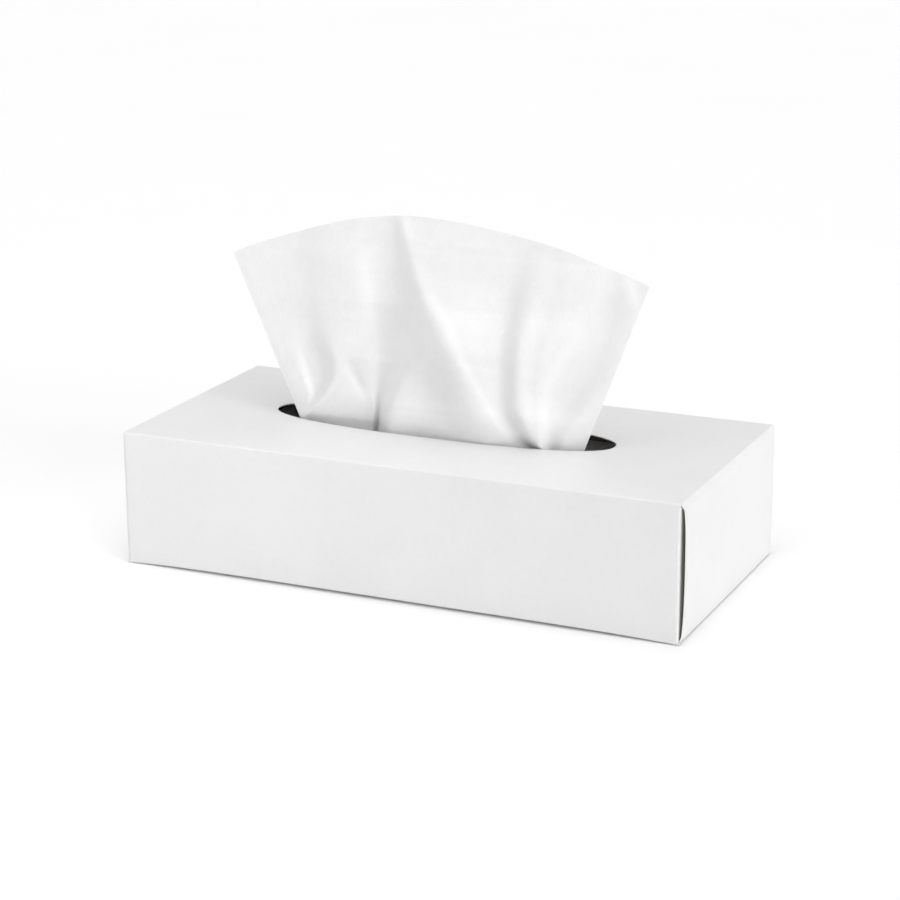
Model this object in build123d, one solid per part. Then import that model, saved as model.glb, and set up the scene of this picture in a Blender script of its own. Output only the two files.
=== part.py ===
from build123d import *
from math import asin, copysign, cos, degrees, hypot, pi, radians, sin, tan
import os

# A white card tissue box, lying as it stands on a table, with one tissue pulled up through its
# opening. The origin is the middle of the base. +X runs along the box, +Y from front to back.

# --- the carton -------------------------------------------------------------------------------
box_length = 240.0
box_width = 115.0
box_height = 56.0
card = 0.5               # thickness of the carton board
fold_radius = 0.9        # outside radius of a creased fold
glue_flap_width = 14.0   # strip of the back wall, bonded to the inside of the bottom
seam_setback = 1.0       # from the back wall's lower fold to the bottom's free edge

# --- the dispensing opening: a long rounded slot, cut in the top ------------------------------
opening_length = 150.0
opening_width = 36.5
opening_squareness = 2.35   # 2 is an ellipse, and more is squarer
opening_centre_x = -4.3
opening_centre_y = 3.0
opening_points = 48

# --- the inner side flaps, folded in from the front and back walls at both ends ---------------
side_flap_length = 45.0
side_flap_foot = 1.2     # from the base to the flap's lower edge, at its fold
side_flap_head = 1.5     # from the box's top to the flap's upper edge, at its fold
side_flap_taper = 6.0    # how much the upper edge drops towards the flap's free end
side_flap_chamfer = 3.6  # 45 degree corner that lets the tuck tab pass

# --- the end flaps, hinged at the top, that close each end and tuck in at the bottom ----------
end_flap_inset = 1.0     # from the box's side to the flap's side edge
end_flap_gap = 0.3       # between an end flap and the side flaps behind it
hinge_gap = 0.1          # between the top's end edge and a flap that stands straight up
tuck_length = 15.0
tuck_gap = 0.3           # between the tuck's fold and the bottom
tuck_spare_slope = 2.0   # degrees beyond the least slope that swings clear
tuck_root_inset = 1.5    # the tuck tab is narrower than its panel by this much on each side
tuck_taper = 5.0         # further narrowing of the tab at its free edge
bow_depth_share = 0.33   # how far down its height a sprung panel stands out most
right_front_bow = 1.7    # how far the right end panel springs out there, at its front edge
right_back_bow = 0.3
left_bow = 0.2           # the left end panel lies nearly flat

# --- the stack of tissues, and the room that the carton leaves round it -----------------------
stack_end_room = 19.5    # from the end of the stack to the inside of an end panel
stack_side_room = 7.0    # from its side to the wall
head_room = 12.5         # from its top to the underside of the carton's top
stack_corner = 4.0       # radius of the soft vertical corners

# --- the tissue that stands out of the opening: a fan, gathered at its foot -------------------
tissue_thickness = 0.4   # a slack two-ply sheet
tissue_seat_gap = 0.3    # from the stack to its foot
tissue_left_room = 8.0   # between its left edge and the opening's left end
tissue_right_room = 12.0
tissue_left_lean = 23.7  # degrees from upright
tissue_right_lean = 21.1
tissue_left_height = 64.0    # of its left corner over the carton's top
tissue_right_height = 66.0
tissue_crest_height = 85.7   # of the highest point of its free edge
tissue_crest_shift = -8.7    # along the box, from the middle of the opening
tissue_waves = 5
tissue_foot_wave = 4.0   # half the depth of the gathers, where the sheet leaves the stack
tissue_edge_wave = 1.2   # and along its free edge
tissue_points = 41

# --- places that follow from these ------------------------------------------------------------
wall_end_x = box_length / 2 - card - end_flap_gap      # outer face of the side flaps
wall_straight_x = wall_end_x - fold_radius             # where their folds begin
flat_half_width = box_width / 2 - fold_radius          # the top's and bottom's flat part
bottom_edge_y = flat_half_width - seam_setback
stack_bottom = 2 * card                                # on the glued strip
stack_top = box_height - card - head_room
stack_length = box_length - 2 * (card + stack_end_room)
stack_width = box_width - 2 * (card + stack_side_room)
hinge_x = box_length / 2 - card / 2
hinge_z = box_height - card / 2
tuck_fold_z = card + tuck_gap + fold_radius            # centre of the tuck's fold
swing_radius = hinge_z - card - tuck_gap               # of the tuck's fold, about the hinge
strip_swing_z = 2 * card + tuck_gap                    # the tuck passes the glued strip this high
glue_strip_end_x = hinge_x - (swing_radius**2 - (hinge_z - strip_swing_z) ** 2) ** 0.5
flap_width = box_width - 2 * end_flap_inset
least_slope = degrees(asin(tuck_length / (2 * (hinge_z - tuck_fold_z + fold_radius))))
tuck_slope = least_slope + tuck_spare_slope


def wall_run(*corners):
    """Straight stretch of folded board along the box, from the corners (y, z) of its middle line."""
    path = FilletPolyline(*corners, radius=fold_radius - card / 2)
    return extrude(Plane.YZ * trace(path, line_width=card), amount=wall_straight_x, both=True)


def carton_sleeve():
    """Bottom, front, top and back in one wrap, closed by the strip glued on inside the bottom."""
    front = -box_width / 2 + card / 2
    back = -front
    middle = box_height / 2
    strip_z = 1.5 * card
    strip_end = box_width / 2 - glue_flap_width
    wrap = wall_run(
        (bottom_edge_y, card / 2), (front, card / 2), (front, hinge_z), (back, hinge_z), (back, middle)
    )
    seam = wall_run((back, middle), (back, strip_z), (strip_end, strip_z))
    cut_length = box_length / 2 - glue_strip_end_x
    cut_x = (box_length / 2 + glue_strip_end_x) / 2
    cut = Box(cut_length, glue_flap_width, 2 * card, align=(Align.CENTER, Align.MAX, Align.CENTER))
    for side in (-1, 1):
        seam -= Pos(side * cut_x, flat_half_width, strip_z) * cut
    return wrap + seam


def opening_cutter():
    """The opening's outline, a squared ellipse, as a solid that passes through the top."""
    points = []
    for i in range(opening_points):
        turn = 2 * pi * i / opening_points
        c, s = cos(turn), sin(turn)
        x = copysign(abs(c) ** (2 / opening_squareness), c) * opening_length / 2
        y = copysign(abs(s) ** (2 / opening_squareness), s) * opening_width / 2
        points.append((x + opening_centre_x, y + opening_centre_y))
    outline = make_face(Spline(*points, periodic=True))
    return Pos(0, 0, box_height - 2 * card) * extrude(outline, amount=3 * card)


def end_strips():
    """The top and the bottom run past the folds of the walls, to each end of the box."""
    top_end = box_length / 2 - card - hinge_gap
    top = Pos(0, 0, hinge_z) * Box(2 * top_end, 2 * flat_half_width, card)
    from_front = (Align.CENTER, Align.MIN, Align.MIN)
    bottom = Box(box_length, flat_half_width + bottom_edge_y, card, align=from_front)
    return top, Pos(0, -flat_half_width, 0) * bottom


def side_flap():
    """Inner flap at the front of the right end, with its fold and its tapered edges."""
    wall_y = -box_width / 2 + card / 2
    flap_x = wall_end_x - card / 2
    tip_y = -box_width / 2 + side_flap_length
    path = FilletPolyline(
        (wall_straight_x - card, wall_y),
        (flap_x, wall_y),
        (flap_x, tip_y),
        radius=fold_radius - card / 2,
    )
    foot = side_flap_foot
    head = box_height - side_flap_head
    strip = Pos(0, 0, foot) * extrude(trace(path, line_width=card), amount=head - foot)
    root_y = -box_width / 2 + fold_radius
    outline = Polyline(
        (-box_width / 2 - card, foot),
        (root_y, foot),
        (root_y + side_flap_chamfer, foot + side_flap_chamfer),
        (tip_y + card, foot + side_flap_chamfer),
        (tip_y + card, head - side_flap_taper),
        (root_y, head),
        (-box_width / 2 - card, head),
        close=True,
    )
    keep = extrude(Plane.YZ * make_face(outline), amount=box_length)
    return strip & keep


def carton():
    """The whole blank but its two end flaps, folded and glued: one piece of card."""
    body = carton_sleeve()
    for strip in end_strips():
        body += strip
    flap = side_flap()
    for at_left in (False, True):
        for at_back in (False, True):
            copy = mirror(flap, about=Plane.YZ) if at_left else flap
            body += mirror(copy, about=Plane.XZ) if at_back else copy
    return body - opening_cutter()


def end_profile(bow, y):
    """Section of an end flap across its hinge: rounded hinge edge, bowed panel, fold and tuck."""
    outer_x = box_length / 2
    inner_x = outer_x - card
    bow_z = box_height * (1 - bow_depth_share)
    middle = Vector(outer_x - fold_radius, tuck_fold_z)
    along = Vector(-cos(radians(tuck_slope)), sin(radians(tuck_slope)))
    down = Vector(-sin(radians(tuck_slope)), -cos(radians(tuck_slope)))
    half = Vector(cos(radians(45 + tuck_slope / 2)), -sin(radians(45 + tuck_slope / 2)))
    inside_radius = fold_radius - card
    outer_fold_end = middle + down * fold_radius
    inner_fold_end = middle + down * inside_radius
    edges = [
        Spline((outer_x, hinge_z), (outer_x + bow, bow_z), (outer_x, tuck_fold_z)),
        ThreePointArc((outer_x, tuck_fold_z), middle + half * fold_radius, outer_fold_end),
        Line(outer_fold_end, outer_fold_end + along * tuck_length),
        Line(outer_fold_end + along * tuck_length, inner_fold_end + along * tuck_length),
        Line(inner_fold_end + along * tuck_length, inner_fold_end),
        ThreePointArc(inner_fold_end, middle + half * inside_radius, (inner_x, tuck_fold_z)),
        Spline((inner_x, tuck_fold_z), (inner_x + bow, bow_z), (inner_x, hinge_z)),
        ThreePointArc((inner_x, hinge_z), (hinge_x, box_height), (outer_x, hinge_z)),
    ]
    across = Plane(origin=(0, y, 0), x_dir=(1, 0, 0), z_dir=(0, -1, 0))
    return across * make_face(Wire(edges))


def end_flap(front_bow, back_bow):
    """Right end flap: a panel that springs out by different amounts along its two side edges."""
    half_width = flap_width / 2
    blank = loft([end_profile(front_bow, -half_width), end_profile(back_bow, half_width)])
    root_x = box_length / 2 - card
    root_y = half_width - tuck_root_inset
    tip_x = root_x - tuck_length - card
    tip_y = root_y - tuck_taper
    outline = Polyline(
        (root_x, root_y),
        (root_x - tuck_taper, tip_y),
        (tip_x, tip_y),
        (tip_x, box_width),
        (root_x, box_width),
        close=True,
    )
    corner = extrude(make_face(outline), amount=box_height / 2)
    return blank - corner - mirror(corner, about=Plane.XZ)


def tissue_stack():
    """The folded tissues, one soft block that lies on the bottom of the carton."""
    face = RectangleRounded(stack_length, stack_width, stack_corner)
    return Pos(0, 0, stack_bottom) * extrude(face, amount=stack_top - stack_bottom)


def arc_height(x, start, top, end):
    """Height at x of the circle through three points."""
    (ax, az), (bx, bz), (cx, cz) = start, top, end
    d = 2 * (ax * (bz - cz) + bx * (cz - az) + cx * (az - bz))
    a2, b2, c2 = ax**2 + az**2, bx**2 + bz**2, cx**2 + cz**2
    middle_x = (a2 * (bz - cz) + b2 * (cz - az) + c2 * (az - bz)) / d
    middle_z = (a2 * (cx - bx) + b2 * (ax - cx) + c2 * (bx - ax)) / d
    radius = hypot(ax - middle_x, az - middle_z)
    return middle_z + (radius**2 - (x - middle_x) ** 2) ** 0.5


def side_edge(rim_x, lean, height):
    """Foot and tip (x, z) of a side edge that leans away from upright where it passes the top."""
    foot_z = stack_top + tissue_seat_gap
    slope = tan(radians(lean))
    foot = (rim_x + (foot_z - box_height) * slope, foot_z)
    tip = (rim_x + height * slope, box_height + height)
    return foot, tip


def popped_tissue():
    """The top tissue, gathered where it leaves the stack and fanned out to its free edge."""
    left_rim_x = opening_centre_x - opening_length / 2 + tissue_left_room
    right_rim_x = opening_centre_x + opening_length / 2 - tissue_right_room
    left_foot, left_tip = side_edge(left_rim_x, -tissue_left_lean, tissue_left_height)
    right_foot, right_tip = side_edge(right_rim_x, tissue_right_lean, tissue_right_height)
    crest = (opening_centre_x + tissue_crest_shift, box_height + tissue_crest_height)
    foot = []
    edge = []
    for i in range(tissue_points):
        share = i / (tissue_points - 1)
        wave = sin(2 * pi * tissue_waves * share)
        foot_x = left_foot[0] + share * (right_foot[0] - left_foot[0])
        edge_x = left_tip[0] + share * (right_tip[0] - left_tip[0])
        edge_z = arc_height(edge_x, left_tip, crest, right_tip)
        foot.append((foot_x, opening_centre_y + tissue_foot_wave * wave, left_foot[1]))
        edge.append((edge_x, opening_centre_y + tissue_edge_wave * wave, edge_z))
    surface = Face.make_surface_from_curves(Spline(*foot), Spline(*edge))
    return Solid.extrude(surface, Vector(0, tissue_thickness, 0))


parts = {
    "carton": carton(),
    "end_flap_left": mirror(end_flap(left_bow, left_bow), about=Plane.YZ),
    "end_flap_right": end_flap(right_front_bow, right_back_bow),
    "tissue_stack": tissue_stack(),
    "popped_tissue": popped_tissue(),
}

os.makedirs("parts", exist_ok=True)
for name, shape in parts.items():
    export_step(shape, f"parts/{name}.step")
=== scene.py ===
# %% [markdown]
# # A white card tissue box
# The box on the table is one sheet of coated white card, cut, creased and folded round a stack of
# tissues. One tissue stands out of the long rounded opening. The CAD frame already holds the true
# sizes, the hinge of each end flap and the place of every piece. This lesson puts the real surfaces
# on it: card with a thickness, rounded creases and cut edges, and a sheet of soft gathered tissue.
# Everything below is placed from the frame, so nothing has to be fitted afterwards.

# %% Load the frame and keep its box
import math

import bmesh
import bpy
import numpy as np
from mathutils import Matrix, Vector, noise


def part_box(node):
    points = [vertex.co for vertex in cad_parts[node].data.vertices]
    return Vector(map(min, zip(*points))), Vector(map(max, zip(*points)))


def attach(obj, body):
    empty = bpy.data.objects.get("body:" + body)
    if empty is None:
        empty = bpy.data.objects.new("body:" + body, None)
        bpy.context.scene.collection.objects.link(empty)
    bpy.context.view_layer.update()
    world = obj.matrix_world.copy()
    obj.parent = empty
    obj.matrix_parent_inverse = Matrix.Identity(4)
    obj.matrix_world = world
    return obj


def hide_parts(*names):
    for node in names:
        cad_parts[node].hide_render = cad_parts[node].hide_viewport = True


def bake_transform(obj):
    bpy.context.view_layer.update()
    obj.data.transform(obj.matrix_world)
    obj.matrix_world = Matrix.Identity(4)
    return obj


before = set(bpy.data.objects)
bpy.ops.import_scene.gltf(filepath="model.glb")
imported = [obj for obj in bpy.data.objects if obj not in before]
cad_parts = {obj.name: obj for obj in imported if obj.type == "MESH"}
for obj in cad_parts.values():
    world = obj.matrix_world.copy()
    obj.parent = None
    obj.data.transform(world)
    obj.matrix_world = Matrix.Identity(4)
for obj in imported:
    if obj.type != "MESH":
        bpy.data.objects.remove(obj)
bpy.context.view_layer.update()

# %% [markdown]
# ## Sizes
# A carton maker thinks in millimetres, so this script does too and turns them into metres once, when
# a mesh is made. The outer sizes are read from the frame. The board's thickness and the radius of a
# crease are the carton's own, and so is the outline of the opening: a long rounded slot, a little
# squarer than an ellipse.

# %% Sizes of the carton
MM = 0.001


def node_box(name):
    """Lowest and highest corner of a CAD node, in mm."""
    low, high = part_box(name)
    return np.array(low) / MM, np.array(high) / MM


half_length, half_width, height = node_box("carton")[1]
card = 0.5
crease = 0.9
end_setback = 1.45
flat_end = half_length - end_setback
flat_side = half_width - crease
flap_plane = flat_end + crease
opening_length = 150.0
opening_width = 36.5
opening_squareness = 2.35
opening_centre = (-4.3, 3.0)
print("carton:", 2 * half_length, "x", 2 * half_width, "x", height, "mm, card", card)

# %% [markdown]
# ## From points to a mesh
# Folded card is made of flat panels and quarter-round creases. Each can be written down as a grid of
# points, rows by columns, and grids whose edges share the same points can be welded into one skin.
# That is simpler to control than cutting holes with booleans, and it leaves clean quads, which bend
# well and shade smoothly. The skin is then thickened inwards, as the board has two different faces
# and a cut edge, and each of those gets its own material.


# %% Mesh helpers
def welded(name, grids, out_at_top=True):
    """An object made of several grids of points in mm, joined wherever their edges meet."""
    skin = bmesh.new()
    for grid in grids:
        rows = [[skin.verts.new(point * MM) for point in row] for row in grid]
        for low, high in zip(rows, rows[1:]):
            for a, b, c, d in zip(low, low[1:], high[1:], high):
                skin.faces.new((a, b, c, d))
    bmesh.ops.remove_doubles(skin, verts=skin.verts, dist=0.01 * MM)
    bmesh.ops.recalc_face_normals(skin, faces=skin.faces)
    highest = max(skin.faces, key=lambda face: face.calc_center_median().z)
    if out_at_top and highest.normal.z < 0:
        bmesh.ops.reverse_faces(skin, faces=skin.faces)
    mesh = bpy.data.meshes.new(name)
    skin.to_mesh(mesh)
    skin.free()
    piece = bpy.data.objects.new(name, mesh)
    bpy.context.scene.collection.objects.link(piece)
    return piece


def thickened(piece, thickness, materials, sharp=40, even=True):
    """Gives a skin its thickness on the inside: face, back and cut edge are the three materials."""
    for material in materials:
        piece.data.materials.append(material)
    solid = piece.modifiers.new("board", "SOLIDIFY")
    solid.thickness = thickness * MM
    solid.offset = -1
    solid.use_even_offset = even
    solid.material_offset = 1
    solid.material_offset_rim = 2
    evaluated = piece.evaluated_get(bpy.context.evaluated_depsgraph_get())
    piece.data = bpy.data.meshes.new_from_object(evaluated)
    piece.modifiers.clear()
    piece.data.name = piece.name
    piece.data.shade_smooth()
    piece.data.set_sharp_from_angle(angle=math.radians(sharp))
    print(piece.name, "has", len(piece.data.polygons), "faces")
    return piece


def quarter(steps=6):
    """Cosines and sines of a quarter turn, from 0 to 90 degrees."""
    turn = np.linspace(0, math.pi / 2, steps + 1)
    return np.cos(turn), np.sin(turn)


# %% [markdown]
# ## Node helpers for the finishes
# Every finish here is built from the same few nodes: noise for the irregular, a ramp to choose how
# much of it shows, and a bump for what is too fine to model. They all read the piece's own object
# coordinates, in metres, so the grain has its true size and runs on from the carton to the flaps
# without a seam.


# %% Material helpers
def new_material(name, roughness, specular=0.5):
    """An empty principled material, with its tree, its shader and its object coordinates."""
    material = bpy.data.materials.new(name)
    material.use_nodes = True
    tree = material.node_tree
    shader = tree.nodes["Principled BSDF"]
    shader.inputs["Roughness"].default_value = roughness
    shader.inputs["Specular IOR Level"].default_value = specular
    place = tree.nodes.new("ShaderNodeTexCoord").outputs["Object"]
    return material, tree, shader, place


def stretched(tree, place, factors):
    """The coordinates, multiplied along each axis."""
    node = tree.nodes.new("ShaderNodeMapping")
    node.inputs["Scale"].default_value = factors
    tree.links.new(place, node.inputs["Vector"])
    return node.outputs["Vector"]


def noise_at(tree, place, scale, detail=3.0, roughness=0.55):
    """A noise of so many waves per metre."""
    node = tree.nodes.new("ShaderNodeTexNoise")
    node.inputs["Scale"].default_value = scale
    node.inputs["Detail"].default_value = detail
    node.inputs["Roughness"].default_value = roughness
    tree.links.new(place, node.inputs["Vector"])
    return node.outputs["Fac"]


def between(tree, factor, low, high, start=0.35, end=0.65):
    """A colour that goes from low to high as the factor goes from start to end."""
    node = tree.nodes.new("ShaderNodeValToRGB")
    node.color_ramp.elements[0].position = start
    node.color_ramp.elements[1].position = end
    node.color_ramp.elements[0].color = (*low, 1)
    node.color_ramp.elements[1].color = (*high, 1)
    tree.links.new(factor, node.inputs["Fac"])
    return node.outputs["Color"]


def multiplied(tree, first, second):
    """Two colours, one laid over the other like two coats of thin ink."""
    node = tree.nodes.new("ShaderNodeMix")
    node.data_type = "RGBA"
    node.blend_type = "MULTIPLY"
    node.inputs["Factor"].default_value = 1.0
    tree.links.new(first, node.inputs["A"])
    tree.links.new(second, node.inputs["B"])
    return node.outputs["Result"]


def varied(tree, factor, low, high):
    """A number that goes from low to high as the factor goes from 0 to 1."""
    node = tree.nodes.new("ShaderNodeMapRange")
    node.inputs["To Min"].default_value = low
    node.inputs["To Max"].default_value = high
    tree.links.new(factor, node.inputs["Value"])
    return node.outputs["Result"]


def bumped(tree, heights, depth, over=None):
    """A bump as deep as so many mm, over another bump if one is given."""
    node = tree.nodes.new("ShaderNodeBump")
    node.inputs["Strength"].default_value = 1.0
    node.inputs["Distance"].default_value = depth * MM
    tree.links.new(heights, node.inputs["Height"])
    if over is not None:
        tree.links.new(over, node.inputs["Normal"])
    return node.outputs["Normal"]


# %% [markdown]
# ## The white face of the card
# The outside of the board is coated white: nearly matt, very even, but not a flat colour. Held close
# it shows a faint clouding from the fibres under the coating, a fine tooth like an eggshell, and a
# slight difference in gloss from place to place. Three noises do that: clouds a few centimetres wide,
# mottling of a few millimetres and a tooth of a third of a millimetre.


# %% Finish: coated white card
def white_card():
    material, tree, shader, place = new_material("coated_white_card", 0.5, specular=0.4)
    clouds = noise_at(tree, place, 28, detail=2)
    mottle = noise_at(tree, place, 420, detail=4)
    tooth = noise_at(tree, place, 3200, detail=2)
    cloudy = between(tree, clouds, (0.792, 0.792, 0.792), (0.812, 0.812, 0.813))
    speckled = between(tree, mottle, (0.982, 0.982, 0.981), (1.0, 1.0, 1.0), 0.3, 0.6)
    tree.links.new(multiplied(tree, cloudy, speckled), shader.inputs["Base Color"])
    tree.links.new(varied(tree, mottle, 0.44, 0.60), shader.inputs["Roughness"])
    waves = bumped(tree, mottle, 0.010)
    tree.links.new(bumped(tree, tooth, 0.006, over=waves), shader.inputs["Normal"])
    return material


# %% [markdown]
# ## The back of the card, and its cut edge
# Inside, the board is bare: warm grey recycled pulp with darker and lighter fibres lying every way.
# Where the knife went through, the edge shows the creamy layers of the board between the coating and
# the back. Both are seen in the opening and in the slit at the sprung end, and inside the box when a
# flap stands open.


# %% Finishes: bare back of the board and cut edge
def bare_board():
    material, tree, shader, place = new_material("bare_board_back", 0.9, specular=0.2)
    pulp = noise_at(tree, place, 90, detail=5)
    along = noise_at(tree, stretched(tree, place, (380, 2600, 2600)), 1.0, detail=3)
    across = noise_at(tree, stretched(tree, place, (2600, 500, 500)), 1.0, detail=3)
    base = between(tree, pulp, (0.40, 0.365, 0.325), (0.47, 0.435, 0.395))
    light_fibres = between(tree, along, (0.86, 0.85, 0.83), (1.0, 1.0, 1.0), 0.38, 0.52)
    dark_fibres = between(tree, across, (0.80, 0.78, 0.75), (1.0, 1.0, 1.0), 0.30, 0.42)
    fibres = multiplied(tree, light_fibres, dark_fibres)
    tree.links.new(multiplied(tree, base, fibres), shader.inputs["Base Color"])
    tree.links.new(bumped(tree, along, 0.02), shader.inputs["Normal"])
    return material


def cut_edge():
    material, tree, shader, place = new_material("cut_card_edge", 0.85, specular=0.2)
    layers = noise_at(tree, place, 2400, detail=3)
    colour = between(tree, layers, (0.85, 0.84, 0.81), (0.91, 0.90, 0.88))
    tree.links.new(colour, shader.inputs["Base Color"])
    tree.links.new(bumped(tree, layers, 0.02), shader.inputs["Normal"])
    return material


card_face = white_card()
card_back = bare_board()
card_edge = cut_edge()
card_finishes = [card_face, card_back, card_edge]
print("finishes:", [material.name for material in card_finishes])

# %% [markdown]
# ## The top panel and its opening
# The opening is punched through the top before the box is folded. To keep the panel in clean quads,
# its points lie on rings: the first ring is the opening's outline and the last is the panel's border,
# and the rings between pass smoothly from one to the other. Both outlines are cut into the same number
# of points, spaced along their length, so each ring has one point for each point of the border. The
# border's points are those of the walls' columns, so that the panels weld. The punch presses the very
# edge of the hole down a little, and a free panel is never dead flat, so it dips slightly towards it.

# %% Columns shared by the panels
wall_columns = np.linspace(-flat_end, flat_end, 119)
end_rows = np.linspace(-flat_side, flat_side, 57)
ring_count = 18
ring_crowding = 1.35
pressed_edge = 0.10
pressed_width = 0.35
dip = 0.18


def spaced(outline, shares):
    """Points at shares of the way round a closed outline."""
    closed = np.vstack([outline, outline[:1]])
    steps = np.hypot(*np.diff(closed, axis=0).T)
    along = np.concatenate([[0], np.cumsum(steps)]) / steps.sum()
    x = np.interp(shares, along, closed[:, 0])
    y = np.interp(shares, along, closed[:, 1])
    return np.column_stack([x, y])


def opening_outline(points=2000):
    """The slot, anticlockwise from its right end."""
    turn = np.linspace(0, 2 * math.pi, points, endpoint=False)
    c, s = np.cos(turn), np.sin(turn)
    power = 2 / opening_squareness
    x = np.sign(c) * np.abs(c) ** power * opening_length / 2 + opening_centre[0]
    y = np.sign(s) * np.abs(s) ** power * opening_width / 2 + opening_centre[1]
    return np.column_stack([x, y])


def panel_border():
    """The top panel's border, anticlockwise from the middle of its right end."""
    middle = len(end_rows) // 2
    up = end_rows[middle:-1]
    low = end_rows[:middle]
    right_high = [(flat_end, y) for y in up]
    back = [(x, flat_side) for x in wall_columns[::-1][:-1]]
    left = [(-flat_end, y) for y in end_rows[::-1][:-1]]
    front = [(x, -flat_side) for x in wall_columns[:-1]]
    right_low = [(flat_end, y) for y in low]
    return np.array(right_high + back + left + front + right_low)


def top_panel():
    """Rings of points from the opening to the border."""
    border = panel_border()
    closed = np.vstack([border, border[:1]])
    steps = np.hypot(*np.diff(closed, axis=0).T)
    shares = np.concatenate([[0], np.cumsum(steps)[:-1]]) / steps.sum()
    hole = spaced(opening_outline(), shares)
    rings = []
    for i in range(ring_count + 1):
        share = (i / ring_count) ** ring_crowding
        flat = hole + share * (border - hole)
        if i == 1:
            way = border - hole
            flat = hole + way / np.hypot(*way.T)[:, None] * pressed_width
        sag = dip * math.cos(share * math.pi / 2) ** 2
        pressed = pressed_edge if i == 0 else 0.0
        z = np.full(len(flat), height - sag - pressed)
        ring = np.column_stack([flat, z])
        rings.append(np.vstack([ring, ring[:1]]))
    return np.array(rings)


print("top panel rings:", top_panel().shape)

# %% [markdown]
# ## Walls, bottom and creases
# The front wall, the bottom and the back wall are plain grids between creases. A crease is a quarter
# turn with a radius of about two card thicknesses: card that is folded over a scored line never gives a
# knife-sharp edge, and that small round catches the light along every edge of the box. The walls of a
# filled carton belly out by a fraction of a millimetre. The back wall ends in a strip that is folded in
# and bonded on the inside of the bottom, which is how the flat blank becomes a tube.

# %% Rows of the walls
belly = 0.22
root_low = 1.2
root_high = height - 1.5
strip_depth = 13.1
strip_end = half_length - 7.6
seam_setback = 1.0
back_root_low = 2.4
top_ear = half_length - 0.5
bottom_ear = half_length
front_rows = np.concatenate([[crease], np.linspace(root_low, root_high, 28), [height - crease]])
back_rows = np.concatenate(
    [[card + crease], np.linspace(back_root_low, root_high, 27), [height - crease]]
)


def wall(side, rows, columns):
    """A wall: side is -1 for the front and 1 for the back. Its columns run along the box."""
    x, z = np.meshgrid(columns, rows)
    across = np.clip((z - rows[0]) / (rows[-1] - rows[0]), 0, 1)
    along = np.clip(1 - (x / flat_end) ** 2, 0, 1)
    out = belly * np.sin(across * math.pi) ** 2 * along
    return np.stack([x, side * (half_width + out), z], axis=2)


def crease_along(side, centre_y, centre_z, up, columns):
    """A quarter-round crease between a wall and a level panel above (up = 1) or below (-1)."""
    c, s = quarter()
    rows = [(side * (centre_y + crease * a), centre_z + up * crease * b) for a, b in zip(c, s)]
    return np.array([[(x, y, z) for x in columns] for y, z in rows])


def level_panel(rows, columns, z):
    """A flat level panel."""
    x, y = np.meshgrid(columns, rows)
    return np.stack([x, y, np.full_like(x, z)], axis=2)


def sleeve():
    """Every panel that wraps round the box, and the small ears past the walls' ends."""
    grids = [top_panel()]
    strip_columns = wall_columns[np.abs(wall_columns) <= strip_end]
    for side, rows in ((-1, front_rows), (1, back_rows)):
        grids.append(wall(side, rows, wall_columns))
        grids.append(crease_along(side, flat_side, height - crease, 1, wall_columns))
    grids.append(crease_along(-1, flat_side, crease, -1, wall_columns))
    grids.append(crease_along(1, flat_side, card + crease, -1, strip_columns))
    bottom_rows = np.append(end_rows[:-1], flat_side - seam_setback)
    grids.append(level_panel(bottom_rows, wall_columns, 0))
    grids.append(level_panel(np.linspace(flat_side, flat_side - strip_depth, 8), strip_columns, card))
    for end in (-1, 1):
        high = np.linspace(end * flat_end, end * top_ear, 3)
        low = np.linspace(end * flat_end, end * bottom_ear, 3)
        for side in (-1, 1):
            grids.append(crease_along(side, flat_side, height - crease, 1, high))
            grids.append(wall(side, np.array([root_high, height - crease]), high))
        grids.append(wall(-1, np.array([crease, root_low]), low))
        grids.append(crease_along(-1, flat_side, crease, -1, low))
    return grids


# %% [markdown]
# ## The inner side flaps
# At each end the front and back walls run on into a flap that is folded in behind the end flap. Its
# upper edge tapers so that it slides in easily, and its lower root is cut at 45 degrees to let the tuck
# tab past. In the slit at the sprung corner its crease shows as a white rounded strip with the dark gap
# beside it. The rows of its root are the rows of the wall, so that it welds on.

# %% Shape of a side flap
side_flap_length = 45.0
side_flap_taper = 6.0
side_flap_notch = 3.6


def side_flap(end, side):
    """The flap at one end (-1 left, 1 right) of one wall (-1 front, 1 back)."""
    rows = (front_rows if side < 0 else back_rows)[1:-1]
    shares = (rows - rows[0]) / (rows[-1] - rows[0])
    c, s = quarter()
    grid = []
    for a, b in zip(s, c):
        x, y = end * (flat_end + crease * a), side * (flat_side + crease * b)
        grid.append([(x, y, z) for z in rows])
    far = side_flap_length - crease
    for depth in (0.9, 1.8, 2.7, side_flap_notch, *np.linspace(6, far, 18)):
        foot = rows[0] + min(depth, side_flap_notch)
        head = rows[-1] - side_flap_taper * depth / far
        y = side * (flat_side - depth)
        grid.append([(end * flap_plane, y, foot + share * (head - foot)) for share in shares])
    return np.array(grid)


# %% [markdown]
# ## Folding the carton up
# A filled carton rarely sits dead flat: its corners carry it, and the long front edge between them
# stands off the table by about a millimetre. That small gap is what draws the thin dark line under
# the front. So each point of the skin is raised a little by its nearness to that edge, and then the
# skin gets the thickness of the board. Only the looks do this: the base of the CAD part is flat.

# %% Fold the carton up
front_lift = 1.1
lift_reach = 20.0


def lifted(x, y, z):
    """How far the front lower edge stands off the table between its two corners, in mm."""
    along = max(0.0, 1 - (x / half_length) ** 6)
    near = math.exp(-(((y + half_width) / lift_reach) ** 2)) * max(0.0, 1 - z / lift_reach)
    return front_lift * along * near


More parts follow.
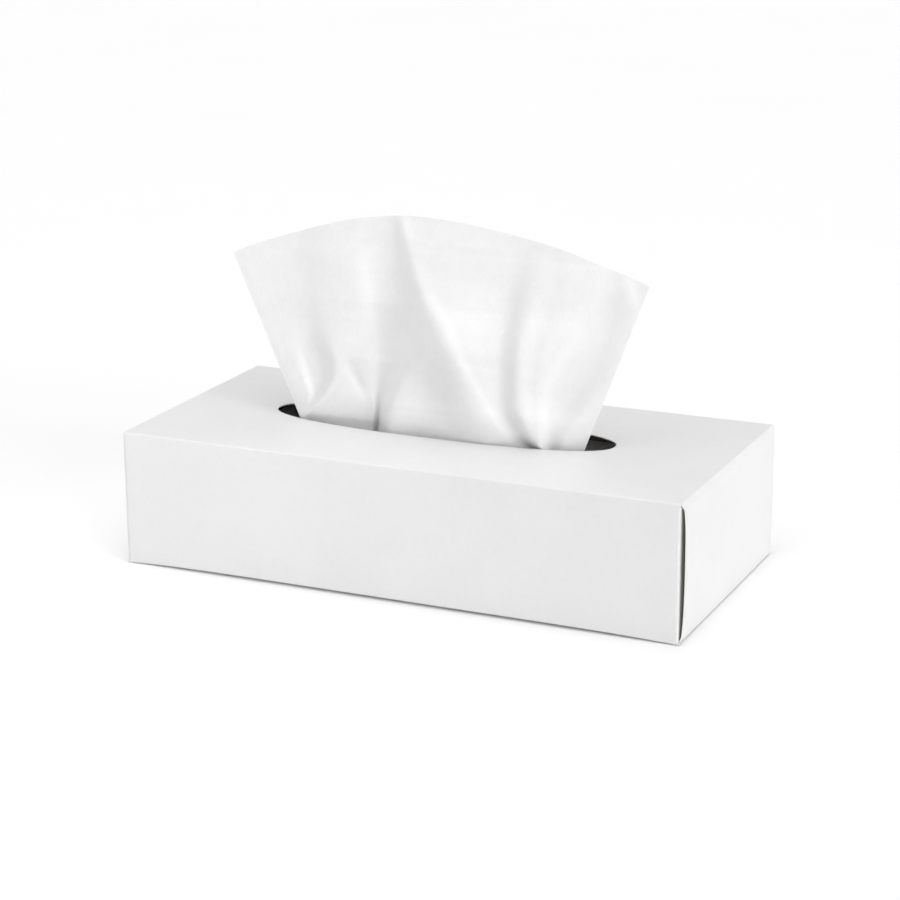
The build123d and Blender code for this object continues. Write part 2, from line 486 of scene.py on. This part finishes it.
side_flaps = [side_flap(end, side) for end in (-1, 1) for side in (-1, 1)]
carton = welded("carton_card", sleeve() + side_flaps)
for corner in carton.data.vertices:
    corner.co.z += lifted(*(corner.co / MM)) * MM
thickened(carton, card, card_finishes)
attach(carton, "carton")
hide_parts("carton")

# %% [markdown]
# ## The end flaps
# An end flap hangs from the top panel by a crease, covers the end and is tucked in at the bottom with a
# narrower tab. Each is the same sheet as the top, so its skin starts on the top panel, goes round the
# hinge crease, down the panel, round the lower crease and along the tab. The right panel has sprung out
# at its front edge, so its bow fades from front to back.

# %% Shape of an end flap
flap_inset = 1.0
tuck_fold_height = 0.4 + crease
tuck_length = 15.0
tuck_slope = math.radians(10)
tuck_inset = 1.5
tuck_taper = 5.0
bow_top = 0.8
bow_fullness = 2.5
crease_lead = 0.2
bows = {"left": (0.2, 0.2), "right": (1.87, 0.33)}


def bow_shape(share):
    """How a sprung panel stands out, from 0 at its creases to 1 where it stands out most."""
    across = 2 * share**bow_top - 1
    return (1 - min(abs(across), 1.0) ** bow_fullness) ** (1 / bow_fullness)


def flap_section(bow):
    """Points (x, z) of the skin of a right end flap, from the top panel to the tip of the tab."""
    c, s = quarter()
    hinge_z = height - crease
    turn_x = half_length - crease
    points = [(flat_end, height), (turn_x - crease_lead, height)]
    points += [(turn_x + crease * a, hinge_z + crease * b) for a, b in zip(s, c)]
    for share in np.linspace(0, 1, 45)[1:]:
        z = hinge_z + share * (tuck_fold_height - hinge_z)
        points.append((half_length + bow * bow_shape(share), z))
    for turn in np.linspace(0, math.pi / 2 + tuck_slope, 8)[1:]:
        x = half_length - crease + crease * math.cos(turn)
        points.append((x, tuck_fold_height - crease * math.sin(turn)))
    x, z = points[-1]
    for along in (0.4, 1.2, 2.4, 3.6, 5.0, *np.linspace(7, tuck_length, 5)):
        points.append((x - along * math.cos(tuck_slope), z + along * math.sin(tuck_slope)))
    return points


def end_flap(name, front_bow, back_bow, mirrored):
    """One end flap, whose bow fades from its front edge to its back edge."""
    half = half_width - flap_inset
    columns = np.linspace(-half, half, 57)
    grid = []
    for y in columns:
        share = (y + half) / (2 * half)
        column = []
        for i, (x, z) in enumerate(flap_section(front_bow + share * (back_bow - front_bow))):
            inward = half_length - card - x
            tab = z < height / 2 and inward > 0
            narrow = tuck_inset + min(inward, tuck_taper) if tab else 0.0
            column.append((-x if mirrored else x, y * (half - narrow) / half, z))
        grid.append(column)
    return thickened(welded(name, [np.array(grid)]), card, card_finishes)


for side, (front_bow, back_bow) in bows.items():
    body = "end_flap_" + side
    flap = end_flap(body + "_card", front_bow, back_bow, side == "left")
    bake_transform(flap)
    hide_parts(body)

# %% [markdown]
# ## The finish of the tissue
# Tissue is soft paper: bright, completely matt and a little woolly. Its fibres were laid down mostly
# in one direction, so a close look shows fine upright streaks, with a faint clouding where the web is
# thicker. The streaks are a noise that is drawn out along the height, used both as a bump and as a very
# slight change of tone.


# %% Finish: soft tissue
def soft_tissue():
    material, tree, shader, place = new_material("soft_tissue", 0.95, specular=0.12)
    shader.inputs["Sheen Weight"].default_value = 0.08
    shader.inputs["Sheen Roughness"].default_value = 0.6
    fibres = noise_at(tree, stretched(tree, place, (1900, 1900, 260)), 1.0, detail=5)
    clouds = noise_at(tree, place, 160, detail=3)
    crepe = noise_at(tree, stretched(tree, place, (500, 500, 1500)), 1.0, detail=3)
    base = between(tree, clouds, (0.846, 0.846, 0.846), (0.866, 0.866, 0.865))
    streaks = between(tree, fibres, (0.968, 0.968, 0.968), (1.0, 1.0, 1.0), 0.3, 0.6)
    tree.links.new(multiplied(tree, base, streaks), shader.inputs["Base Color"])
    fine = bumped(tree, crepe, 0.012)
    tree.links.new(bumped(tree, fibres, 0.035, over=fine), shader.inputs["Normal"])
    return material


tissue_finish = soft_tissue()
print("finish:", tissue_finish.name)

# %% [markdown]
# ## The stack of tissues
# About a hundred interfolded tissues lie in the carton. From the opening only their soft top shows, and
# from an open end the edges of the folds, layer on layer. One block with a rippled side stands for them:
# each layer is a small round in the outline, and no two layers stick out by quite the same amount. The
# top is a nearly level sheet, sunk a little and rippled by a weak noise.

# %% The stack
stack_low, stack_high = node_box("tissue_stack")
stack_corner = 4.0
stack_layers = 46
rows_a_layer = 3
layer_round = 0.35
layer_shift = 0.45
stack_rounding = 1.6
outline_points = 240
top_insets = (3.0, 5.0, 8.0, 12.0, 18.0, 26.0, 36.0, 44.0, 48.0)
top_ripple = 0.25
top_sink = 0.3
random = np.random.default_rng(7)


def stack_outline(inset):
    """The stack's outline from above, a rounded rectangle, moved in by so many mm."""
    half_x = stack_high[0] - inset
    half_y = stack_high[1] - inset
    corner = max(stack_corner - inset, 0.5)
    points = []
    for sx, sy, first in ((1, 1, 0), (-1, 1, 90), (-1, -1, 180), (1, -1, 270)):
        for turn in np.linspace(first, first + 90, 6):
            x = sx * (half_x - corner) + corner * math.cos(math.radians(turn))
            y = sy * (half_y - corner) + corner * math.sin(math.radians(turn))
            points.append((x, y))
    shares = np.linspace(0, 1, outline_points + 1)[:-1]
    return spaced(np.array(points), shares)


def tissue_stack():
    """Rings of points from the foot of the stack, round by round, to the middle of its top."""
    rings = []
    thickness = (stack_high[2] - stack_low[2]) / stack_layers
    shifts = random.uniform(0, layer_shift, stack_layers)
    for layer in range(stack_layers):
        for row in range(rows_a_layer):
            share = row / rows_a_layer
            z = stack_low[2] + (layer + share) * thickness
            edge = min(z - stack_low[2], stack_high[2] - z)
            soft = stack_rounding * max(0.0, 1 - edge / stack_rounding) ** 2
            inset = shifts[layer] + layer_round * (1 - math.sin(share * math.pi)) + soft
            rings.append(np.column_stack([stack_outline(inset), np.full(outline_points, z)]))
    for inset in top_insets:
        ring = stack_outline(inset)
        lift = top_ripple * noise_field(ring, 0.06) - top_sink
        rings.append(np.column_stack([ring, stack_high[2] + lift]))
    closed = [np.vstack([ring, ring[:1]]) for ring in rings]
    return np.array(closed)


def noise_field(points, waves, seed=0.0):
    """A smooth noise between -1 and 1 at points in mm, with so many waves a mm."""
    return np.array([noise.noise(Vector((p[0] * waves, p[1] * waves, seed))) for p in points])


def capped(piece):
    """Closes the open borders of a tube with flat ends."""
    body = bmesh.new()
    body.from_mesh(piece.data)
    bmesh.ops.holes_fill(body, edges=[e for e in body.edges if e.is_boundary], sides=0)
    bmesh.ops.recalc_face_normals(body, faces=body.faces)
    body.to_mesh(piece.data)
    body.free()


stack = welded("tissue_stack_sheets", [tissue_stack()])
capped(stack)
stack.data.materials.append(tissue_finish)
stack.data.shade_smooth()
stack.data.set_sharp_from_angle(angle=math.radians(70))
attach(stack, "carton")
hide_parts("tissue_stack")
print("stack:", stack_layers, "layers,", len(stack.data.polygons), "faces")

# %% [markdown]
# ## The outline of the standing tissue
# The tissue that has been pulled up is gathered in the opening and spreads like a fan: two straight side
# edges that lean outwards, and a free edge that rises in one shallow arc. A rod of cloth could be
# simulated into such a shape, but a sheet of tissue keeps the folds that fingers gave it, so its folds
# are easier to draw than to simulate. The outline comes first. Heights are measured up from the
# carton's top, and places along the box from its middle.

# %% Outline of the fan
sheet_low, sheet_high = node_box("popped_tissue")
foot_height = sheet_low[2] - height
left_tip = (sheet_low[0], 64.0)
right_tip = (sheet_high[0], 66.0)
left_rim = -71.3
right_rim = 58.7
free_edge = [left_tip, (-88, 68.8), (-68, 75.6), (-45, 82), (-22, 85.5), (0, 85.0), (22, 82.3),
             (43, 78.3), (64, 72.4), (81, 67.2), right_tip]


def station_curve(at, places, values):
    """Smooth curve through the stations' values, held level beyond the first and last."""
    order = np.argsort(places)
    h, v = np.array(places, float)[order], np.array(values, float)[order]
    slope = np.gradient(v, h)
    at = np.clip(at, h[0], h[-1])
    i = np.clip(np.searchsorted(h, at) - 1, 0, len(h) - 2)
    span = h[i + 1] - h[i]
    t = (at - h[i]) / span
    low = (1 + 2 * t) * (1 - t) ** 2 * v[i] + t * (1 - t) ** 2 * span * slope[i]
    return low + t**2 * (3 - 2 * t) * v[i + 1] + t**2 * (t - 1) * span * slope[i + 1]


def edge_height(x):
    """Height of the free edge at x."""
    places, heights = zip(*free_edge)
    return station_curve(x, places, heights)


def side_edge(rim, tip, up):
    """Where a straight side edge is, at a height over the carton's top."""
    return rim + (tip[0] - rim) * up / tip[1]


print("fan:", round(right_tip[0] - left_tip[0]), "mm between its tips")

# %% [markdown]
# ## The folds, flank by flank
# A fold in cloth is two flanks that meet in a crest or a valley. What the eye reads is the tilt of each
# flank: with the light on the right, one that faces right is bright and one that faces left is in shade.
# So the sheet is described by its flanks. Each has a name and a few stations, from its upper end to
# its foot, and a station says: height over the carton's top, place along the box, tilt in degrees
# (positive faces right), and reach, half the flank's breadth in mm. Adding up what all the flanks step
# back or forward gives the depth of the sheet everywhere.

# %% Flanks of the folds
flanks = {
    "left_field": [(90, -66, -2, 14), (60, -62, -5, 13), (40, -60, -4, 12), (20, -58, 0, 10)],
    "left_ridge": [(40, -74, 0, 3), (26, -70, 5, 2.4), (15, -66.5, 14, 1.8), (4, -64, 22, 1.4),
                   (-3, -69, 24, 1.3)],
    "left_valley": [(60, -64, -2, 6), (45, -62, -5, 5.5), (29, -59, -16, 4.2), (21, -56, -24, 3.0),
                    (14, -56, -27, 2.4), (6, -60, -30, 2.0), (-3, -69, -34, 1.6)],
    "swept_crease": [(24, -49, 0, 2.5), (16, -51, 9, 1.8), (8, -56, 18, 1.4), (1, -62, 28, 1.1),
                     (-4, -67, 30, 1.1)],
    "small_dimple_left": [(30, -50, 0, 4), (20, -48, 6, 2.4), (13, -44, 8, 1.8), (6, -40, 0, 2)],
    "small_dimple_right": [(26, -44, 0, 3), (18, -42, -8, 1.8), (11, -39, -7, 1.7), (4, -36, 0, 2)],
    "lobe_side": [(80, -38, 2, 5), (60, -38, 8, 4.2), (38, -35.5, 10, 4.0), (21, -34, 12, 3.2),
                  (12, -33.5, 20, 2.0), (6, -34, 48, 1.0), (-6, -35.5, 66, 0.7)],
    "main_valley": [(84, -24.5, -9, 2.4), (72, -22, -23, 3.0), (63, -20.5, -25, 3.6),
                    (54, -18.5, -29, 4.6), (45, -17, -33, 5.4), (34, -18, -35, 5.2),
                    (24, -23, -32, 4.2), (16, -26.5, -38, 3.4), (7, -30, -46, 2.8), (-6, -33, -52, 2.4)],
    "lower_triangle": [(48, -12, 0, 5), (38, -11, -16, 5), (26, -6.5, -21, 7.5), (13, -1, -21, 9.0),
                       (2, 4, -18, 10.0), (-8, 8, -14, 10)],
    "main_ridge": [(84, -20, 8, 1.6), (72, -17, 5, 2.6), (57, -12, 6, 3), (42, -3, 8, 3.0),
                   (24, 5.5, 8, 2.6), (13, 13, 7, 2.4), (2, 20, 6, 2.6), (-6, 26, 3, 3)],
    "right_valley": [(75, 36, -3, 5), (64, 31, -12, 4.6), (49, 27.5, -19, 4.0), (34, 25, -25, 3.6),
                     (19, 24.5, -28, 3.3), (7, 26, -30, 3.1), (0, 31, -30, 2.6), (-6, 37, -40, 1.8)],
    "right_valley_back": [(60, 40, 2, 3.5), (36, 32, 7, 2.6), (19, 31, 7, 2.4), (5, 33.5, 4, 2.2),
                          (-6, 35, 0, 2)],
    "right_band_shade": [(60, 46, -2, 2.5), (36, 38, -5, 2.0), (19, 35.5, -5, 1.8), (3, 37, -4, 1.5)],
    "bright_fold": [(72, 66, 4, 7), (61, 63, 9, 6.2), (48, 56, 11, 6.5), (31, 46.5, 14, 5.0),
                    (19, 41, 20, 3.2), (6, 39, 28, 2.0), (-6, 40, 32, 1.6)],
    "right_field": [(70, 72, -2, 4), (47, 70, -9, 4.5), (24, 61, -16, 6.0), (12, 53, -19, 5.0),
                    (5, 48, -14, 3.4), (-6, 45, -18, 2.6)],
    "right_corner": [(76, 73, 5, 2.4), (66, 76, 9, 2.4), (56, 79, 5, 2.2), (46, 80, 0, 2.2)],
}
fold_gain = 1.7
least_reach = 0.5


def flank_depth(x, up, stations):
    """How far one flank has stepped the sheet back at each point; the gain makes all folds deeper."""
    heights, places, tilts, reaches = zip(*stations)
    place = station_curve(up, heights, places)
    tilt = np.radians(station_curve(up, heights, tilts))
    reach = np.maximum(station_curve(up, heights, reaches), least_reach)
    return fold_gain * reach * np.tan(tilt) * np.tanh((x - place) / reach)


print("flanks:", len(flanks))

# %% [markdown]
# ## From flanks to a sheet
# The steps of the flanks do not cancel, so the sheet would drift towards or away from the front. A level
# tilt between its two side edges takes that up, which sets where each edge stands in the opening. Below
# the rim the slack of the wide sheet goes into small upright pleats, as it does where a real tissue
# comes out of the fold of the one below. A very weak noise keeps the broad fields from looking ironed.

# %% Depth of the sheet
left_edge_depth = [(90, 3.0), (40, 2.2), (0, 1.0), (-13, 1.5)]
right_edge_depth = [(90, 4.5), (40, 5.6), (0, 6.0), (-13, 4.5)]
pleats = 17
pleat_depth = 2.4
pleat_start = -7.0
pleat_wander = 0.35
broad_crumple = 0.35
fine_crumple = 0.07


def edge_depth(up, stations):
    """Where a side edge stands across the box at a height."""
    heights, depths = zip(*stations)
    return station_curve(up, heights, depths)


def fold_depth(x, up):
    """The steps of all the flanks together."""
    return sum(flank_depth(x, up, stations) for stations in flanks.values())


def crumple(x, up):
    """Weak unevenness of the whole sheet, in mm."""
    points = np.column_stack([x.ravel(), up.ravel()])
    broad = noise_field(points, 0.045, seed=3.1)
    fine = noise_field(points, 0.13, seed=8.4)
    return (broad_crumple * broad + fine_crumple * fine).reshape(x.shape)


def sheet_depth(x, up):
    """Place across the box (mm behind the sheet's own middle plane at 0) of each point."""
    left = side_edge(left_rim, left_tip, up)
    right = side_edge(right_rim, right_tip, up)
    share = (x - left) / (right - left)
    at_left = edge_depth(up, left_edge_depth) - fold_depth(left, up)
    at_right = edge_depth(up, right_edge_depth) - fold_depth(right, up)
    level = at_left + share * (at_right - at_left)
    below = np.clip((pleat_start - up) / (pleat_start - foot_height), 0, 1)
    wander = pleat_wander * np.sin(share * 9.0) + share
    pleat = pleat_depth * below**1.5 * np.sin(2 * math.pi * pleats * wander)
    return level + fold_depth(x, up) + pleat + crumple(x, up)


# %% [markdown]
# ## Leaning on the front rim
# Where a tissue is pulled up through a slot it leans on one side of it. This one leans on the front
# rim, so its foot is drawn forward to the curve of the opening and its free edge stands over the
# middle. The rim keeps the sheet clear of the card by a millimetre or so, and the sheet presses
# closest where the lower triangle of its folds lies. As the folds step the sheet back or forward,
# they are also carried a little sideways and up, along the slant in which the sheet hangs, so that
# the fan keeps its outline from where it is looked at.

# %% The lean
rim_gap = 1.7
middle_gap = -0.3
middle_press = 2.4
press_place = 4.0
press_reach = 13.0
rim_shift = 4.0
lean_height = 100.0
draw_in = 5.0
slant = (0.47, 0.333)


def eased(share):
    """From 0 to 1 with a soft start and a soft end."""
    share = np.clip(share, 0, 1)
    return share**2 * (3 - 2 * share)


def towards_rim(x, up):
    """How far the sheet comes forward to the front rim; nothing at its free edge and its foot."""
    left = side_edge(left_rim, left_tip, up)
    right = side_edge(right_rim, right_tip, up)
    share = (x - left) / (right - left)
    at_rim = left_rim + share * (right_rim - left_rim) + rim_shift
    across = np.clip(np.abs((at_rim - opening_centre[0]) / (opening_length / 2)), 0, 1)
    half = opening_width / 2 * (1 - across**opening_squareness) ** (1 / opening_squareness)
    gap = rim_gap + (middle_gap - rim_gap) * np.sin(math.pi * share) ** 2
    gap = gap - middle_press * np.exp(-(((at_rim - press_place) / press_reach) ** 2))
    rim = opening_centre[1] - half + gap
    leaning = 1 - eased(up / lean_height)
    return np.minimum(rim - opening_centre[1], 0) * leaning * eased((up - foot_height) / draw_in)


# %% [markdown]
# ## The mesh of the tissue
# The columns of the mesh fan out from the foot to the free edge. They are set closer together where the
# sheet is steep, so a tight fold has as many faces for each mm of tissue as a flat field. The sheet gets a
# thickness of its own, two plies. It is the standing half of a tissue that measures 200 by 200 mm.

# %% The sheet
sheet_columns = 300
sheet_rows = 150
sheet_thickness = 0.25
steepness_pull = 2.25
steepest = 2.0
foot_crowding = 1.15


def column_shares():
    """Places of the columns across the sheet, from 0 to 1, closer together on steep flanks."""
    fine = np.linspace(0, 1, 3000)
    density = np.zeros_like(fine)
    for up in (-4.0, 4.0, 14.0, 26.0):
        left = side_edge(left_rim, left_tip, up)
        right = side_edge(right_rim, right_tip, up)
        x = left + fine * (right - left)
        steep = np.abs(np.gradient(fold_depth(x, np.full_like(x, up)), x))
        density += 1 + steepness_pull * np.minimum(steep, steepest)
    along = np.concatenate([[0], np.cumsum((density[1:] + density[:-1]) / 2)])
    return np.interp(np.linspace(0, 1, sheet_columns + 1), along / along[-1], fine)


def standing_sheet():
    """The grid of the whole sheet, from its foot on the stack to its free edge."""
    across = column_shares()
    rise = np.linspace(0, 1, sheet_rows + 1) ** foot_crowding
    left_foot = side_edge(left_rim, left_tip, foot_height)
    right_foot = side_edge(right_rim, right_tip, foot_height)
    foot_x = left_foot + across * (right_foot - left_foot)
    edge_x = left_tip[0] + across * (right_tip[0] - left_tip[0])
    edge_up = edge_height(edge_x)
    x = foot_x + rise[:, None] * (edge_x - foot_x)
    up = foot_height + rise[:, None] * (edge_up - foot_height)
    depth = sheet_depth(x, up) + towards_rim(x, up)
    step = depth - opening_centre[1]
    step *= eased((up - foot_height) / draw_in)
    return np.stack([x - slant[0] * step, depth, up - slant[1] * step + height], axis=2)


tissue = welded("popped_tissue_sheet", [standing_sheet()], out_at_top=False)
thickened(tissue, sheet_thickness, [tissue_finish] * 3, sharp=60, even=False)
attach(tissue, "carton")
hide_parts("popped_tissue")

# %% [markdown]
# ## Floor and light
# The box stands on a matt white table that runs out to pure white. Most of the light is even and falls
# from the whole ceiling. Two low soft panels on the right brighten the end of the box and rake across
# the tissue, which is what makes the flanks of its folds bright or dark, and a small lamp at the left
# lifts the left part of the front.


# %% The table
def table_finish():
    material, tree, shader, place = new_material("white_table", 0.5, specular=0.0)
    haze = noise_at(tree, place, 6, detail=2)
    tree.links.new(between(tree, haze, (0.962,) * 3, (0.968,) * 3), shader.inputs["Base Color"])
    tree.links.new(varied(tree, haze, 0.20, 0.24), shader.inputs["Roughness"])
    return material


table_half = 6000.0
table_drop = 0.05
table_lines = np.linspace(-table_half, table_half, 5)
table_grid = level_panel(table_lines, table_lines, -table_drop)
table = welded("table", [table_grid])
table.data.materials.append(table_finish())

# %% Lamps and surroundings
view = bpy.context.scene.view_settings
view.view_transform = "Standard"
world = bpy.data.worlds.new("white_studio")
world.use_nodes = True
sky = world.node_tree.nodes["Background"]
sky.inputs["Color"].default_value = (1, 1, 1, 1)
sky.inputs["Strength"].default_value = 0.25
bpy.context.scene.world = world


def soft_lamp(name, place, target, width, depth, watts):
    """A rectangular soft lamp, in mm, that faces a target."""
    data = bpy.data.lights.new(name, "AREA")
    data.shape = "RECTANGLE"
    data.size = width * MM
    data.size_y = depth * MM
    data.energy = watts
    lamp = bpy.data.objects.new(name, data)
    bpy.context.scene.collection.objects.link(lamp)
    lamp.location = Vector(place) * MM
    lamp.rotation_euler = (Vector(target) - Vector(place)).to_track_quat("-Z", "Y").to_euler()
    return lamp


def soft_sun(name, azimuth, elevation, spread, strength):
    """An even light from one direction, in degrees round from the front and up, with a soft spread."""
    data = bpy.data.lights.new(name, "SUN")
    data.energy = strength
    data.angle = math.radians(spread)
    lamp = bpy.data.objects.new(name, data)
    bpy.context.scene.collection.objects.link(lamp)
    turn, rise = math.radians(azimuth), math.radians(elevation)
    level = math.cos(rise)
    towards = Vector((math.sin(turn) * level, -math.cos(turn) * level, math.sin(rise)))
    lamp.rotation_euler = towards.to_track_quat("Z", "Y").to_euler()
    return lamp


lamps = [
    soft_sun("wide_ceiling", 0, 90, 100, 1.67),
    soft_sun("ceiling_panel", 0, 90, 40, 0.45),
    soft_sun("right_panel", 70, 12, 20, 1.12),
    soft_sun("right_front_panel", 50, 15, 20, 0.30),
    soft_lamp("left_lamp", (-420, -420, 260), (-120, -57, 30), 260, 260, 0.44),
]
print("lamps:", [lamp.name for lamp in lamps])

# %% [markdown]
# ## The camera
# A long lens a little over a metre away keeps the box's edges nearly parallel, as in a catalogue. The
# camera looks down by about 17 degrees and stands 24 degrees round from the front, towards the sprung
# end, and leans by a third of a degree.

# %% The camera
camera_azimuth = math.radians(24.313)
camera_elevation = math.radians(16.866)
camera_roll = math.radians(-0.322)
camera_distance = 1030.1
camera_target = Vector((0.176, 0.0, 46.756))
camera_lens = 100.83
flat_reach = math.cos(camera_elevation)
back = Vector((
    math.sin(camera_azimuth) * flat_reach,
    -math.cos(camera_azimuth) * flat_reach,
    math.sin(camera_elevation),
))
level_right = Vector((math.cos(camera_azimuth), math.sin(camera_azimuth), 0))
level_up = back.cross(level_right)
right = level_right * math.cos(camera_roll) + level_up * math.sin(camera_roll)
up = level_up * math.cos(camera_roll) - level_right * math.sin(camera_roll)
camera_data = bpy.data.cameras.new("camera")
camera_data.lens = camera_lens
camera_data.sensor_width = 36
camera_data.clip_start = 0.05
camera_data.clip_end = 50
camera = bpy.data.objects.new("camera", camera_data)
bpy.context.scene.collection.objects.link(camera)
turned = Matrix((right, up, back)).transposed().to_4x4()
camera.matrix_world = Matrix.Translation((camera_target + back * camera_distance) * MM) @ turned
bpy.context.scene.camera = camera
print("camera at", [round(v) for v in camera.location / MM], "mm")
